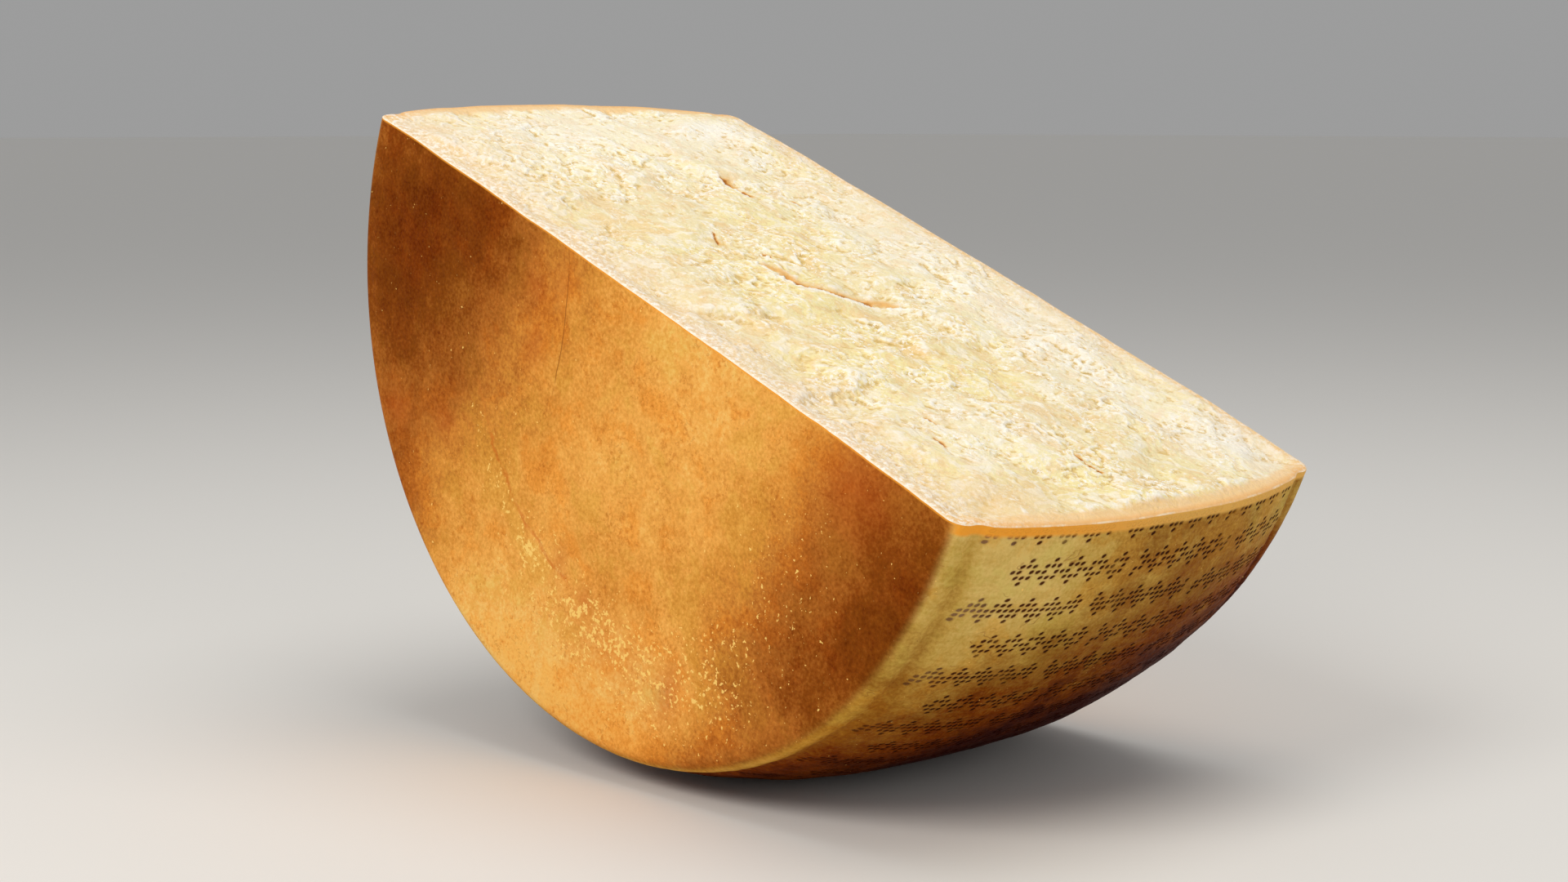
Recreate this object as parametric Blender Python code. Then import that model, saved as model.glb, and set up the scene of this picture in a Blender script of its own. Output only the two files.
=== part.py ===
"""Half of a wheel of hard aged cheese, broken in two across its round faces.

The half lies on its barrel side, rolled so that the broken face slopes down towards +X.
Lengths are in metres. The shape is made in the wheel's own axes, with +Y along the wheel's axis
and +Z square to the broken face, and is then rolled and stood on a small flat spot at z = 0.
"""

import math

import bmesh
import bpy
import numpy as np
from mathutils import Matrix

# The whole wheel
WHEEL_HEIGHT = 0.226
FACE_RADIUS = 0.200
SIDE_BULGE = 0.0168
BULGE_POWER = 2.45
CORNER_FILLET = 0.007

# The smooth band and the groove that the mould leaves beside each round face
BAND_WIDTH = 0.006
GROOVE_WIDTH = 0.012
GROOVE_DEPTH = 0.0014

# How the half was broken off and how it lies
CUT_ABOVE_AXIS = 0.004
ROLL = math.radians(22.17)
REST_LENGTH = 0.084

# The fineness of the mesh
FILLET_STEPS = 3
GROOVE_STEPS = 4
BODY_STRIPS = 30
CUT_COLUMNS = 64
SIDE_COLUMNS = 34

# The broken face: how high its lumps are, and how wide
SWELL = 0.0020
SWELL_SIZE = 0.085
HUMMOCK = 0.0012
HUMMOCK_SIZE = 0.036
CHIP = 0.0014
CHIP_SIZE = 0.024
CHIP_TILT = 0.12
WARP = 0.006
WARP_SIZE = 0.018
RIND_THICKNESS = 0.009
RIND_RELIEF = 0.15
EDGE_SAG = 0.0018

# Two cracks where a flake has lifted, as (x, y) on the broken face
LONG_CRACK = ((-0.010, -0.024), (0.004, -0.021), (0.014, -0.010), (0.027, 0.010))
LONG_CRACK_DEPTH = 0.0042
SHORT_CRACK = ((-0.121, 0.034), (-0.106, 0.031), (-0.090, 0.031))
SHORT_CRACK_DEPTH = 0.0022
CRACK_REACH = 0.009
CRACK_END = 0.008

# A low pale mound beside the high far corner
MOUND_CENTRE = (-0.166, 0.074)
MOUND_RADIUS = 0.034
MOUND_HEIGHT = 0.0018

# Seeds of the random tables, and the cells on a side of each
SWELL_SEED = 11
HUMMOCK_SEED = 12
WARP_SEEDS = (13, 14)
CHIP_SEED = 15
TABLE_CELLS = 64

RIND_COLOUR = (0.52, 0.21, 0.04, 1.0)
PASTE_COLOUR = (0.86, 0.70, 0.42, 1.0)


def smooth_step(t):
    """0 below t = 0 and 1 above t = 1, with level ends."""
    t = np.clip(t, 0.0, 1.0)
    return t * t * (3.0 - 2.0 * t)


def random_table(seed):
    return np.random.default_rng(seed).uniform(-1.0, 1.0, (TABLE_CELLS, TABLE_CELLS))


def smooth_noise(x, y, size, seed):
    """Rolling noise from -1 to 1, whose lumps are about one size across."""
    table = random_table(seed)
    u = x / size + TABLE_CELLS / 2
    v = y / size + TABLE_CELLS / 2
    i = np.floor(u).astype(int)
    j = np.floor(v).astype(int)
    s = smooth_step(u - i)
    t = smooth_step(v - j)
    low = table[i, j] * (1 - s) + table[i + 1, j] * s
    high = table[i, j + 1] * (1 - s) + table[i + 1, j + 1] * s
    return low * (1 - t) + high * t


def chip_noise(x, y, size, tilt, seed):
    """Flat tilted facets, one round each point of a jittered grid, as broken flakes leave."""
    shift_x, shift_y, lift, lean_x, lean_y = (random_table(seed + k) for k in range(5))
    u = x / size + TABLE_CELLS / 2
    v = y / size + TABLE_CELLS / 2
    i = np.floor(u).astype(int)
    j = np.floor(v).astype(int)
    nearest = np.full(u.shape, np.inf)
    height = np.zeros(u.shape)
    for a in (i - 1, i, i + 1):
        for b in (j - 1, j, j + 1):
            du = u - (a + 0.5 + 0.4 * shift_x[a, b])
            dv = v - (b + 0.5 + 0.4 * shift_y[a, b])
            distance = du * du + dv * dv
            facet = lift[a, b] + (lean_x[a, b] * du + lean_y[a, b] * dv) * tilt * size / CHIP
            height = np.where(distance < nearest, facet, height)
            nearest = np.minimum(distance, nearest)
    return height


def crack_dip(x, y, line, depth):
    """A slope that dips to the crack from its far side and stops there, under a raised lip."""
    best = np.full(x.shape, np.inf)
    dip = np.zeros(x.shape)
    for (x0, y0), (x1, y1) in zip(line, line[1:]):
        length = math.hypot(x1 - x0, y1 - y0)
        ux = (x1 - x0) / length
        uy = (y1 - y0) / length
        along = (x - x0) * ux + (y - y0) * uy
        across = (y - y0) * ux - (x - x0) * uy
        beyond = np.maximum(np.maximum(-along, along - length), 0.0)
        distance = np.hypot(across, beyond)
        slope = np.where(across > 0, -1.0, 0.2) * np.exp(-distance / CRACK_REACH)
        dip = np.where(distance < best, slope, dip)
        best = np.minimum(distance, best)
    first = np.hypot(x - line[0][0], y - line[0][1])
    last = np.hypot(x - line[-1][0], y - line[-1][1])
    ends = smooth_step(np.minimum(first, last) / CRACK_END)
    return depth * dip * ends


def side_radius(y):
    """Radius of the barrel side at y, with the grooves beside its smooth bands."""
    bulged = FACE_RADIUS + SIDE_BULGE * (1 - np.abs(2 * y / WHEEL_HEIGHT) ** BULGE_POWER)
    from_face = WHEEL_HEIGHT / 2 - np.abs(y)
    across = np.clip((from_face - BAND_WIDTH) / GROOVE_WIDTH, 0.0, 1.0)
    return bulged - GROOVE_DEPTH * np.sin(math.pi * across) ** 2


def near_corner():
    """(y, r) along the rounded corner between a round face and the barrel side."""
    slope = SIDE_BULGE * BULGE_POWER * 2 / WHEEL_HEIGHT
    turn = math.pi / 2 - math.atan(slope)
    centre_y = CORNER_FILLET - WHEEL_HEIGHT / 2
    centre_r = FACE_RADIUS - CORNER_FILLET * math.tan(turn / 2)
    angles = np.linspace(0.0, turn, FILLET_STEPS + 1)
    return [(centre_y - CORNER_FILLET * math.cos(a), centre_r + CORNER_FILLET * math.sin(a))
            for a in angles]


def profile():
    """(y, r) from the near round face over the barrel side to the far one."""
    groove_start = BAND_WIDTH - WHEEL_HEIGHT / 2
    body_start = groove_start + GROOVE_WIDTH
    groove = np.linspace(groove_start, body_start, GROOVE_STEPS + 1)
    body = np.linspace(body_start, -body_start, BODY_STRIPS + 1)[1:-1]
    near = near_corner() + [(y, float(side_radius(y))) for y in groove]
    far = [(-y, r) for y, r in reversed(near)]
    return near + [(y, float(side_radius(y))) for y in body] + far


def rind_fade(x, y):
    """1 on the paste, falling to RIND_RELIEF at the rind, which breaks cleaner."""
    from_face = WHEEL_HEIGHT / 2 - np.abs(y)
    from_side = side_radius(y) - np.abs(x)
    inward = np.minimum(from_face, from_side)
    return RIND_RELIEF + (1 - RIND_RELIEF) * smooth_step(inward / RIND_THICKNESS - 0.3)


def cut_height(x, y):
    """Height of the broken face over the wheel's axis."""
    x = np.asarray(x, float)
    y = np.asarray(y, float)
    relief = SWELL * smooth_noise(x, y, SWELL_SIZE, SWELL_SEED)
    relief += HUMMOCK * smooth_noise(x, y, HUMMOCK_SIZE, HUMMOCK_SEED)
    warped_x = x + WARP * smooth_noise(x, y, WARP_SIZE, WARP_SEEDS[0])
    warped_y = y + WARP * smooth_noise(x, y, WARP_SIZE, WARP_SEEDS[1])
    relief += CHIP * chip_noise(warped_x, warped_y, CHIP_SIZE, CHIP_TILT, CHIP_SEED)
    from_mound = np.hypot(x - MOUND_CENTRE[0], y - MOUND_CENTRE[1])
    relief += MOUND_HEIGHT * smooth_step(2 - 2 * from_mound / MOUND_RADIUS)
    relief += crack_dip(x, y, LONG_CRACK, LONG_CRACK_DEPTH)
    relief += crack_dip(x, y, SHORT_CRACK, SHORT_CRACK_DEPTH)
    sag = EDGE_SAG * (np.abs(x) / FACE_RADIUS) ** 4
    return CUT_ABOVE_AXIS + relief * rind_fade(x, y) - sag


def half_width(y, r):
    """x where the broken face meets the barrel side of radius r."""
    height = cut_height(math.sqrt(r * r - CUT_ABOVE_AXIS ** 2), y)
    return math.sqrt(r * r - float(height) ** 2)


def ring(y, r):
    """One closed ring of points at y: across the broken face, then down round the side."""
    right = half_width(y, r)
    share = np.linspace(-1.0, 1.0, CUT_COLUMNS + 1)
    across = [(right * s, y, float(cut_height(right * s, y))) for s in share]
    start = math.asin(across[-1][2] / r)
    end = -math.pi - math.asin(across[0][2] / r)
    angles = np.linspace(start, end, SIDE_COLUMNS + 1)[1:-1]
    return across + [(r * math.cos(a), y, r * math.sin(a)) for a in angles]


def material(name, colour, roughness):
    made = bpy.data.materials.new(name)
    made.use_nodes = True
    shader = made.node_tree.nodes["Principled BSDF"]
    shader.inputs["Base Color"].default_value = colour
    shader.inputs["Roughness"].default_value = roughness
    shader.inputs["Metallic"].default_value = 0.0
    return made


def half_wheel_mesh():
    """Rings joined by quads, with the two round faces as end caps."""
    mesh = bmesh.new()
    rings = [[mesh.verts.new(p) for p in ring(y, r)] for y, r in profile()]
    count = len(rings[0])
    for near, far in zip(rings, rings[1:]):
        for k in range(count):
            after = (k + 1) % count
            face = mesh.faces.new((near[k], near[after], far[after], far[k]))
            face.material_index = 1 if k < CUT_COLUMNS else 0
    mesh.faces.new(rings[0][::-1])
    mesh.faces.new(rings[-1])
    return mesh


def stand_on_flat(mesh):
    """Rolls the half, stands it on z = 0 and planes the lowest part of the side flat."""
    mid_radius = FACE_RADIUS + SIDE_BULGE
    axis_height = math.sqrt(mid_radius ** 2 - (REST_LENGTH / 2) ** 2)
    placed = Matrix.Translation((0, 0, axis_height)) @ Matrix.Rotation(ROLL, 4, "Y")
    mesh.transform(placed)
    everything = mesh.verts[:] + mesh.edges[:] + mesh.faces[:]
    cut = bmesh.ops.bisect_plane(
        mesh, geom=everything, plane_co=(0, 0, 0), plane_no=(0, 0, 1), clear_inner=True)
    rim = [e for e in cut["geom_cut"] if isinstance(e, bmesh.types.BMEdge)]
    bmesh.ops.edgeloop_fill(mesh, edges=rim)


def build_half_wheel():
    mesh = half_wheel_mesh()
    stand_on_flat(mesh)
    bmesh.ops.triangulate(mesh, faces=mesh.faces[:])
    bmesh.ops.recalc_face_normals(mesh, faces=mesh.faces[:])
    data = bpy.data.meshes.new("half_wheel")
    mesh.to_mesh(data)
    mesh.free()
    data.materials.append(material("rind", RIND_COLOUR, 0.55))
    data.materials.append(material("paste", PASTE_COLOUR, 0.75))
    data.shade_smooth()
    data.set_sharp_from_angle(angle=math.radians(35))
    piece = bpy.data.objects.new("half_wheel", data)
    bpy.context.scene.collection.objects.link(piece)


def main():
    for old in list(bpy.data.objects):
        bpy.data.objects.remove(old)
    build_half_wheel()


main()
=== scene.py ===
"""The looks of the half wheel of hard aged cheese: its broken face, its rind and a plain studio.

Lengths are in metres. Shapes are worked out in the wheel's own axes, with +Y along the wheel's axis
and +Z square to the broken face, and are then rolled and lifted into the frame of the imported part.
"""

import math

import bpy
import numpy as np
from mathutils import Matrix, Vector
from mathutils.geometry import delaunay_2d_cdt


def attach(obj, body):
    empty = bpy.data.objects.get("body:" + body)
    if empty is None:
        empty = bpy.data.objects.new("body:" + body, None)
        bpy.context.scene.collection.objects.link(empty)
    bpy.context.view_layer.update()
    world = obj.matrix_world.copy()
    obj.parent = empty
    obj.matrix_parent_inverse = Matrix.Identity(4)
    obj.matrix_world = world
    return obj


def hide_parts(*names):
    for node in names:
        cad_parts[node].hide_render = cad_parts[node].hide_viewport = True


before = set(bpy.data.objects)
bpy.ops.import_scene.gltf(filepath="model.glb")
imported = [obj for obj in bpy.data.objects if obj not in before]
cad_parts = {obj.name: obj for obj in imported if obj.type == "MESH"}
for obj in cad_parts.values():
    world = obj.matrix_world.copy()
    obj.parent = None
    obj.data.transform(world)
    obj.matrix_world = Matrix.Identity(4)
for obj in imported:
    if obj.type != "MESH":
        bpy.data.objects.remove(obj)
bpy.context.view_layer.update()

# The wheel and how its half lies, as in the solid
WHEEL_HEIGHT = 0.226
FACE_RADIUS = 0.2
SIDE_BULGE = 0.0168
BULGE_POWER = 2.45
CORNER_FILLET = 0.007
BAND_WIDTH = 0.006
GROOVE_WIDTH = 0.012
GROOVE_DEPTH = 0.0014
CUT_ABOVE_AXIS = 0.004
ROLL = math.radians(22.17)
REST_LENGTH = 0.084
MID_RADIUS = FACE_RADIUS + SIDE_BULGE
AXIS_HEIGHT = math.sqrt(MID_RADIUS ** 2 - (REST_LENGTH / 2) ** 2)
CORNER_SLOPE = SIDE_BULGE * BULGE_POWER * 2 / WHEEL_HEIGHT
CORNER_TURN = math.pi / 2 - math.atan(CORNER_SLOPE)
CORNER_START = FACE_RADIUS - CORNER_FILLET * math.tan(CORNER_TURN / 2)

# The coarse relief of the broken face, as in the solid. Noise is given here and below as layers of
# (size, seed, strength).
SWELLS = ((0.085, 11, 0.002), (0.036, 12, 0.0012))
CHIP = 0.0014
CHIP_SIZE = 0.024
CHIP_TILT = 0.12
CHIP_CRISP = 5.0
CHIP_JITTER = 0.4
CHIP_SEED = 15
WARP = 0.006
WARP_SIZE = 0.018
WARP_SEED = 13
RIND_THICKNESS = 0.009
RIND_RELIEF = 0.15
RIND_OFFSET = 0.3
EDGE_SAG = 0.0018
LONG_CRACK = ((-0.01, -0.024), (0.004, -0.021), (0.014, -0.01), (0.027, 0.01))
SHORT_CRACK = ((-0.121, 0.034), (-0.106, 0.031), (-0.09, 0.031))
MOUND_CENTRE = (-0.166, 0.074)
MOUND_RADIUS = 0.034
MOUND_HEIGHT = 0.0018
TABLE_CELLS = 64

# The cracks again: steeper here than in the solid, with a crumbled lip, and with small ones added
CRACK_CRUMBLE = 0.0011
CRUMBLE_NOISE = ((0.0042, 35, 1.0), (0.0017, 36, 0.6))
CRACK_LIP = 0.1
SHARP_CRACK = 0.0011
SMALL_CRACKS = (
    ((-0.057, -0.0235), (-0.044, -0.0275)),
    ((-0.034, -0.0125), (-0.025, -0.01)),
    ((-0.091, 0.056), (-0.082, 0.059)),
    ((0.139, -0.0665), (0.151, -0.0695)),
    ((0.124, -0.059), (0.134, -0.056)),
    ((0.166, -0.01), (0.186, -0.0115)),
)
# Each crack as (line, depth, how far its slope reaches, how far its ends fade)
CRACKS = (
    (LONG_CRACK, 0.004, 0.0062, 0.008),
    (SHORT_CRACK, 0.0022, 0.004, 0.008),
    *((line, 0.0009, 0.0016, 0.004) for line in SMALL_CRACKS),
)

# The fine relief of the broken face: ever smaller flakes as (size, height, tilt, crispness), and
# grains. Both are lower in smooth patches and by the border.
FLAKES = (
    (0.0125, 0.00046, 0.09, 50.0),
    (0.0068, 0.00034, 0.11, 50.0),
    (0.0037, 0.00013, 0.12, 30.0),
    (0.0021, 0.00009, 0.18, 16.0),
)
FLAKE_WARP = 0.5
FLAKE_SEED = 40
GRAIN_NOISE = ((0.0015, 91, 0.0001),)
ROUGH_MEAN = 0.6
ROUGH_NOISE = ((0.026, 31, 0.55), (0.01, 32, 0.45))
ROUGH_LIMITS = (0.36, 0.9)
SMOOTH_PATCHES = ((0.182, -0.088, 0.02, 0.02, 0.7),)
RIM_FLAKES = 0.1
RIM_SLOPE = 1.3
RIM_OFFSET = 0.35
LIP_DROP = 0.0006
LIP_WIDTH = 0.0014

# The meshes: points across the broken face, along the profile, round the side and over round faces
CUT_COLUMNS = 600
PROFILE_STEP = 0.00072
FINE_COLUMNS = 300
FINE_SHARE = 0.3
COARSE_COLUMNS = 290
FACE_SPACING = 0.0026
FACE_TOP = 0.02
FACE_MARGIN = 0.6 * FACE_SPACING
SAME_POINT = 1e-7
SLOPE_STEP = 0.0005

# The pin-dot ornament that runs round the side in bands
DOT_ROW_START = -0.0065
DOT_ROW_PITCH = 0.0195
DOT_ALONG = 0.0031
DOT_DOWN = 0.0028
DOT_RADIUS = 0.00112
DOT_FLATNESS = 1.15
DOT_SLANT = -0.2
DOT_LEAN = 0.25
DOT_SHIFT = 0.016
DOT_LINES = 5
DOT_REACH = 0.0955
DOT_DEPTH = 0.00025
DOT_PIT = 1.25
DOT_PIT_EDGE = 0.5
WORD_COLUMNS = 22
WORD_GAP = 2

# The relief of the rind, and how far from its borders it has faded out. The wrinkles run along Y,
# so their noise takes a share of y.
SIDE_WAVES = ((0.05, 61, 0.0005), (0.017, 62, 0.00025), (0.0024, 64, 0.00008))
WRINKLES = ((0.005, 65, 0.00018),)
WRINKLES_Y = 0.35
LOW_WRINKLES = ((0.0028, 63, 0.00018),)
LOW_WRINKLES_Y = 0.12
LOW_WRINKLES_FULL = 0.08
CUT_FADE = 0.004
SIDE_FADE = 0.01
FACE_FADE = 0.006
FACE_DENTS = ((0.06, 71, 0.0006), (0.021, 72, 0.00021))

# How light the rind is, from 0 to 1, with stains as (x, z, width, height, strength) on the round
# faces and as (arc, y, width, height, strength) on the side. Rises are (start, length, height).
FACE_TONE = 0.88
FACE_STAINS = (
    (-0.178, -0.083, 0.12, 0.043, -0.45),
    (0.084, -0.139, 0.052, 0.063, 0.5),
    (0.184, -0.055, 0.067, 0.12, -0.71),
    (0.087, -0.12, 0.069, 0.054, -0.51),
    (-0.143, -0.2, 0.058, 0.09, -0.84),
    (0.135, -0.2, 0.063, 0.047, -1.2),
    (-0.143, -0.009, 0.104, 0.057, -0.77),
)
LOW_FACE = (0.06, 0.1)
RIM_LIGHT = (0.145, 0.045, 0.1)
SPECKLE_BAND = (
    (-0.062, -0.108, 0.013, 0.026, 0.5),
    (-0.026, -0.134, 0.022, 0.018, 0.65),
    (0.018, -0.146, 0.028, 0.02, 0.7),
    (0.046, -0.142, 0.022, 0.012, 0.22),
    (0.064, -0.148, 0.032, 0.024, 0.7),
    (0.106, -0.128, 0.03, 0.026, 0.6),
    (0.12, -0.07, 0.04, 0.05, 0.38),
    (-0.01, -0.165, 0.06, 0.02, 0.25),
)
RED_STAINS = (
    (0.15, -0.011, 0.022, 0.018, 0.35),
    (0.04, -0.147, 0.045, 0.016, 0.2),
    (-0.062, -0.023, 0.009, 0.007, 0.3),
    (-0.044, -0.014, 0.006, 0.01, 0.25),
    (-0.053, -0.047, 0.008, 0.012, 0.3),
    (-0.139, -0.122, 0.012, 0.009, 0.3),
    (-0.101, -0.111, 0.01, 0.007, 0.3),
    (0.082, -0.146, 0.007, 0.013, 0.4),
    (0.02, -0.136, 0.006, 0.006, 0.3),
    (-0.002, -0.129, 0.005, 0.008, 0.3),
)
HUE_DRIFTS = (
    (0.062, -0.188, 0.075, 0.02, 0.24),
    (-0.12, -0.155, 0.05, 0.012, 0.1),
    (0.19, -0.012, 0.03, 0.03, -0.12),
)

# The near face's scratch and crease, and the gold band beside the crease
SCRATCH_TOP = -0.0456
SCRATCH_LEAN = 0.355
SCRATCH_BEND = 2.7
SCRATCH_END = 0.07
SCRATCH_FADE = 0.02
SCRATCH_WIDTH = 0.0004
CREASE_RADIUS = 0.1346
CREASE_SPIRAL = 0.2
CREASE_SPAN = (-0.095, 0.03)
CREASE_WIDTH = 0.0019
END_FADE = 0.03
GOLD_BAND = (0.008, 0.006)
GOLD_SPAN = (-0.115, 0.005)
GOLD_FLECKS = 0.4
GOLD_HUE = 0.22

# The tones of the side, as it goes down, in from a round face and along Y, with painted shade as it
# turns down to the floor, a painted highlight on the ridge by the faces and painted shade in the
# groove
CORNER_BLEND = 0.003
SIDE_TONE = 0.95
# Painted shade down the side to the floor, and lowest down by it
DOWN_PAINTED_SHADE = (0.01, 0.15, 0.74)
MIDDLE_IN = (0.038, 0.085)
FAR_MIDDLE = 0.6
FAR_HALF = (-0.03, 0.06)
MIDDLE_TONE_AND_SHADE = 0.45
MIDDLE_FADE = (0.03, 0.08, 0.25)
FAR_LIGHT = (0.03, 0.07, 0.2)
FAR_LIGHT_DEPTH = 0.04
FAR_DARK = (0.01, 0.07, 0.14)
FAR_DARK_DOWN = (0.03, 0.03)
LOW_SIDE = (0.06, 0.08)
LOW_TONE_AND_LIGHT = 0.08
LOWEST_PAINTED_SHADE = (0.125, 0.05, 0.13)
# Painted highlight on the ridge by each face, and painted shade in the groove beside it with painted
# light low down
RIDGE = (0.004, 0.004)
RIDGE_DARK = 0.03
RIDGE_PAINTED_HIGHLIGHT = (0.07, 0.12, 0.75)
VALLEY = (0.012, 0.0042)
VALLEY_PAINTED_SHADE = 0.2
VALLEY_PAINTED_LIGHT = 0.32
LOW_WARMTH = (0.07, 0.07, 0.18)
FAR_WARMTH = (0.01, 0.06, 0.05)
AMBER_DOWN = (0.06, 0.05)
AMBER_FADE = (0.015, 0.02, 0.6)
SIDE_STAINS = (
    (0.092, -0.056, 0.024, 0.022, -0.2),
    (0.015, 0.07, 0.03, 0.04, 0.06),
)

# The tones of the broken face: pale patches as (x, y, width, height, strength), crumbs by the round
# faces, the rind in section, and what tells hollows, which get painted shade, from crests, which get a
# painted highlight
PALE_PATCHES = (
    (-0.172, 0.08, 0.014, 0.026, 0.6),
    (0.165, -0.062, 0.012, 0.008, 0.4),
    (0.178, 0.09, 0.02, 0.012, 0.5),
    (-0.175, -0.01, 0.06, 0.075, 0.5),
    (0.06, 0.075, 0.19, 0.032, 0.48),
    (0.148, -0.04, 0.034, 0.04, 0.3),
    (0.19, -0.078, 0.018, 0.032, -0.6),
)
NEAR_CRUMBS = 0.017
FAR_CRUMBS = 0.012
FAR_SHARE = 0.6
HIGH_SECTION = 0.85
FAR_SECTION = 0.0035
SMALL_STEP = 0.0003
SMALL_BLUR = 12
WIDE_STEP = 0.0012
WIDE_BLUR = 140

# The camera of the photograph, fitted to the outline
CAMERA_PLACE = (0.8117, -0.7889, 0.2874)
CAMERA_AZIMUTH = math.radians(46.73)
CAMERA_ELEVATION = math.radians(7.287)
FOCAL_PIXELS = 3063.9
IMAGE_WIDTH = 1920


def smooth_step(t):
    t = np.clip(t, 0.0, 1.0)
    return t * t * (3.0 - 2.0 * t)


def rise(value, start, length, height=1.0):
    """0 up to start, and height from one length beyond it."""
    return height * smooth_step((value - start) / length)


def bell(value, middle, width):
    return np.exp(-((value - middle) / width) ** 2)


def to_face(y):
    """How far y is from the nearer round face."""
    return WHEEL_HEIGHT / 2 - np.abs(y)


def below_cut(arc):
    """How far a place on the side is below the nearer end of the broken face."""
    return np.minimum(arc, math.pi * MID_RADIUS - arc)


def random_table(seed):
    return np.random.default_rng(seed).uniform(-1.0, 1.0, (TABLE_CELLS, TABLE_CELLS))


def cell_of(x, size):
    """The cell of a random table that x falls in, and how far into it, from 0 to 1."""
    u = x / size + TABLE_CELLS / 2
    i = np.floor(u).astype(int)
    return i, u - i


def smooth_noise(x, y, size, seed):
    """Rolling noise from -1 to 1, whose lumps are about one size across."""
    table = random_table(seed)
    i, u = cell_of(x, size)
    j, v = cell_of(y, size)
    i, j = i % TABLE_CELLS, j % TABLE_CELLS
    after_i, after_j = (i + 1) % TABLE_CELLS, (j + 1) % TABLE_CELLS
    s, t = smooth_step(u), smooth_step(v)
    low = table[i, j] * (1 - s) + table[after_i, j] * s
    high = table[i, after_j] * (1 - s) + table[after_i, after_j] * s
    return low * (1 - t) + high * t


def layered_noise(x, y, layers, total=0.0):
    """The sum of layers of smooth noise, each given as (size, seed, strength)."""
    for size, seed, strength in layers:
        total = total + strength * smooth_noise(x, y, size, seed)
    return total


def warped(x, y, size, reach, seed):
    """x and y, each moved by noise of that size, by up to reach."""
    moved_x = x + reach * smooth_noise(x, y, size, seed)
    moved_y = y + reach * smooth_noise(x, y, size, seed + 1)
    return moved_x, moved_y


def chip_noise(x, y, size, tilt, crisp, seed):
    """Tilted facets, one round each point of a jittered grid, as broken flakes leave.

    tilt is how much a facet rises over one size, and crisp how abruptly one gives way to the next.
    """
    shift_x, shift_y, lift, lean_x, lean_y = (random_table(seed + k) for k in range(5))
    i, u = cell_of(x, size)
    j, v = cell_of(y, size)
    height = np.zeros(u.shape)
    total = np.full(u.shape, 1e-9)
    for a in (-1, 0, 1):
        for b in (-1, 0, 1):
            at = (i + a) % TABLE_CELLS, (j + b) % TABLE_CELLS
            du = u - (a + 0.5 + CHIP_JITTER * shift_x[at])
            dv = v - (b + 0.5 + CHIP_JITTER * shift_y[at])
            share = np.exp(-crisp * (du * du + dv * dv))
            height += share * (lift[at] + (lean_x[at] * du + lean_y[at] * dv) * tilt)
            total += share
    return height / total


def crack_dip(x, y, line, depth, reach, end):
    """A slope that dips to the crack from its far side and stops there, under a raised lip."""
    y = y + CRACK_CRUMBLE * layered_noise(x, y, CRUMBLE_NOISE)
    best = np.full(x.shape, np.inf)
    dip = np.zeros(x.shape)
    for (x0, y0), (x1, y1) in zip(line, line[1:]):
        length = math.hypot(x1 - x0, y1 - y0)
        ux = (x1 - x0) / length
        uy = (y1 - y0) / length
        along = (x - x0) * ux + (y - y0) * uy
        across = (y - y0) * ux - (x - x0) * uy
        beyond = np.maximum(np.maximum(-along, along - length), 0.0)
        distance = np.hypot(across, beyond)
        slope = np.where(across > 0, -1.0, CRACK_LIP) * np.exp(-distance / reach)
        dip = np.where(distance < best, slope, dip)
        best = np.minimum(distance, best)
    first = np.hypot(x - line[0][0], y - line[0][1])
    last = np.hypot(x - line[-1][0], y - line[-1][1])
    ends = smooth_step(np.minimum(first, last) / end)
    return depth * dip * ends


def side_radius(y):
    """Radius of the barrel side at y, with the grooves beside its smooth bands."""
    bulged = FACE_RADIUS + SIDE_BULGE * (1 - np.abs(2 * y / WHEEL_HEIGHT) ** BULGE_POWER)
    across = np.clip((to_face(y) - BAND_WIDTH) / GROOVE_WIDTH, 0.0, 1.0)
    return bulged - GROOVE_DEPTH * np.sin(math.pi * across) ** 2


def corner_profile():
    """Arrays y and r round the near corner, from the round face to the barrel side."""
    steps = round(CORNER_FILLET * CORNER_TURN / PROFILE_STEP)
    angles = np.linspace(0.0, CORNER_TURN, steps + 1)
    y = CORNER_FILLET * (1 - np.cos(angles)) - WHEEL_HEIGHT / 2
    r = CORNER_START + CORNER_FILLET * np.sin(angles)
    return y, r


def profile():
    """Arrays y and r along the rind, from the near round face to the far one."""
    corner_y, corner_r = corner_profile()
    body_steps = round(-2 * corner_y[-1] / PROFILE_STEP)
    body_y = np.linspace(corner_y[-1], -corner_y[-1], body_steps + 1)[1:-1]
    y = np.concatenate([corner_y, body_y, -corner_y[::-1]])
    r = np.concatenate([corner_r, side_radius(body_y), corner_r[::-1]])
    return y, r


def inward_distance(x, y):
    """How far a point of the broken face is from its border."""
    from_face = to_face(y)
    from_side = side_radius(y) - np.abs(x)
    beyond = np.abs(x) - CORNER_START
    round_corner = CORNER_FILLET - np.hypot(CORNER_FILLET - from_face, beyond)
    in_corner = (from_face < CORNER_FILLET) & (beyond > 0)
    inward = np.where(in_corner, round_corner, np.minimum(from_face, from_side))
    return np.maximum(inward, 0.0)


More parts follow.
